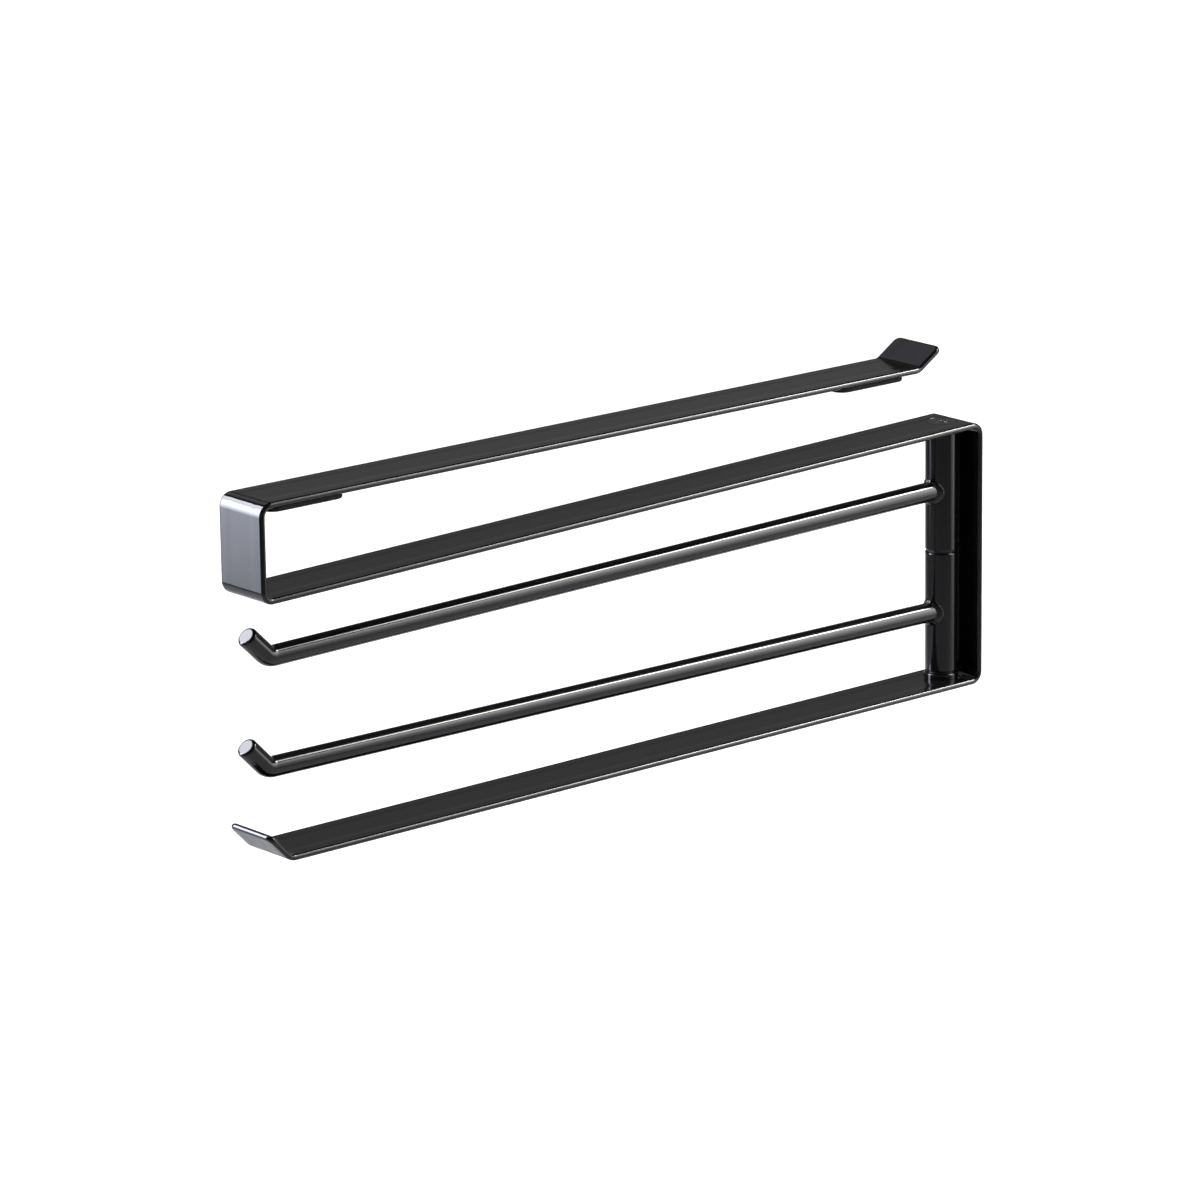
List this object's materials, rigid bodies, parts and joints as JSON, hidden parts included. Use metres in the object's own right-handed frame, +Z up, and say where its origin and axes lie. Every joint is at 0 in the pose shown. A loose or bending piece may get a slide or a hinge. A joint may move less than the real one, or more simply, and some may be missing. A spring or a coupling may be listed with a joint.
{
  "type": "under-shelf dishcloth rail",
  "caption": "Clip-on cloth rail: a bent steel strip slides over a shelf board and carries swinging hanging arms and a fixed lower bar under it.",
  "frame": {"origin": "centre of the inner face of the front web, where the front edge of the shelf board stops", "axes": "+X runs into the cupboard along the arms, +Z is up, and the strip is centred on Y = 0"},
  "size_m": [0.366, 0.025, 0.1431],
  "materials": {
    "black_powder_coated_steel": "gloss black powder coat",
    "black_screw_steel": "black zinc plating",
    "plated_steel": "turned, zinc plated",
    "pad_rubber": "matte",
    "adhesive_film": "matte",
    "black_nylon": "moulded, satin"
  },
  "bodies": {
    "frame": {"frame_strip": "black_powder_coated_steel", "front_pad": "pad_rubber", "rear_pad": "pad_rubber", "front_pad_tape": "adhesive_film", "rear_pad_tape": "adhesive_film", "spindle": "plated_steel", "top_screw": "black_screw_steel", "bottom_screw": "black_screw_steel", "foot_ring": "black_powder_coated_steel", "top_washer": "black_nylon", "middle_washer": "black_nylon", "bottom_washer": "black_nylon"},
    "upper_arm": {"upper_sleeve": "black_powder_coated_steel", "upper_rod": "black_powder_coated_steel", "upper_sleeve_top_bush": "black_nylon", "upper_sleeve_bottom_bush": "black_nylon"},
    "lower_arm": {"lower_sleeve": "black_powder_coated_steel", "lower_rod": "black_powder_coated_steel", "lower_sleeve_top_bush": "black_nylon", "lower_sleeve_bottom_bush": "black_nylon"}
  },
  "joints": [
    {"name": "upper_arm_swivel", "type": "hinge", "parent": "frame", "child": "upper_arm", "pos_m": [0.3513, 0, -0.04096], "axis": [0, 0, 1], "range_deg": [-109.8, 109.8]},
    {"name": "lower_arm_swivel", "type": "hinge", "parent": "frame", "child": "lower_arm", "pos_m": [0.3513, 0, -0.09117], "axis": [0, 0, 1], "range_deg": [-109.4, 110.1]}
  ]
}
